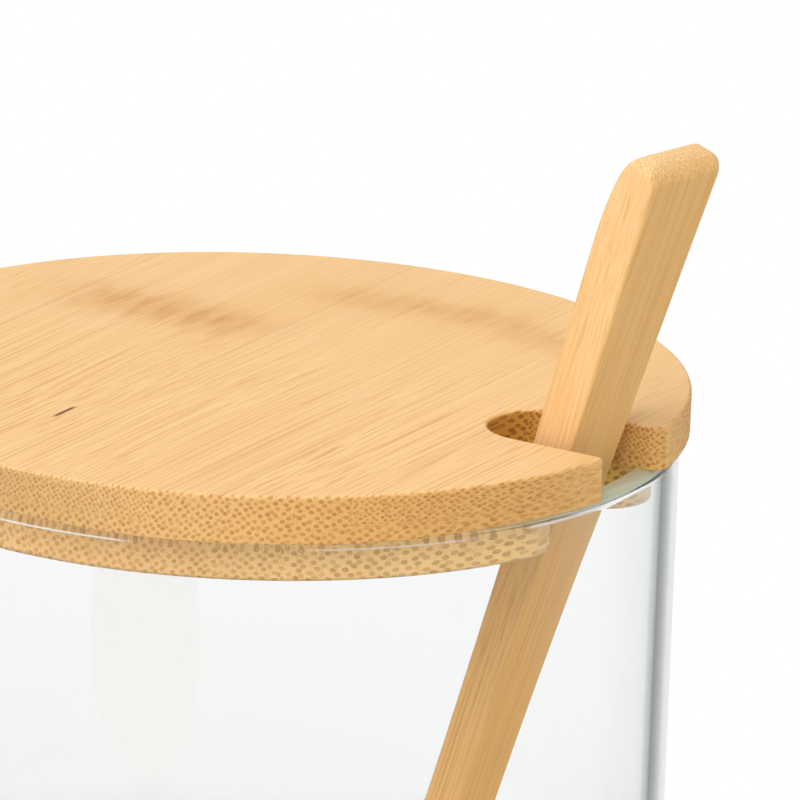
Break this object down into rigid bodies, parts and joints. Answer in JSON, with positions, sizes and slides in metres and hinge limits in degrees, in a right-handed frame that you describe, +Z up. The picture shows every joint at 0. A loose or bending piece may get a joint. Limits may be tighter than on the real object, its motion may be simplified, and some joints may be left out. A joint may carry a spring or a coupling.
{
  "type": "glass sugar bowl with lid and spoon",
  "caption": "Straight-sided clear glass sugar bowl with a bamboo lid notched at its rim and a bamboo spoon whose handle leans out through the notch.",
  "frame": {"origin": "centre of the glass bowl's flat base, on the surface it stands on", "axes": "+Z up along the bowl's axis, +X from the axis out through the lid's notch"},
  "size_m": [0.1006, 0.0952, 0.118],
  "materials": {
    "clear_glass": "clear pressed soda-lime glass, faintly green along its edges",
    "lid_bamboo": "sanded pale bamboo, long grain on top and end grain dots round the rim",
    "plug_bamboo": "sanded pale bamboo, end grain dots round the plug",
    "spoon_bamboo": "sanded bamboo, grain along the handle and end grain at its tip"
  },
  "bodies": {
    "bowl": {"glass_bowl": "clear_glass"},
    "lid": {"lid_top_ply": "lid_bamboo", "lid_bottom_ply": "plug_bamboo"},
    "spoon": {"spoon": "spoon_bamboo"}
  },
  "joints": [
    {"name": "lid_lift", "type": "slide", "parent": "bowl", "child": "lid", "axis": [0, 0, 1], "range_m": [0, 0.06]},
    {"name": "spoon_lift", "type": "slide", "parent": "bowl", "child": "spoon", "axis": [0.2865, 0, 0.9581], "range_m": [0, 0.032]}
  ]
}
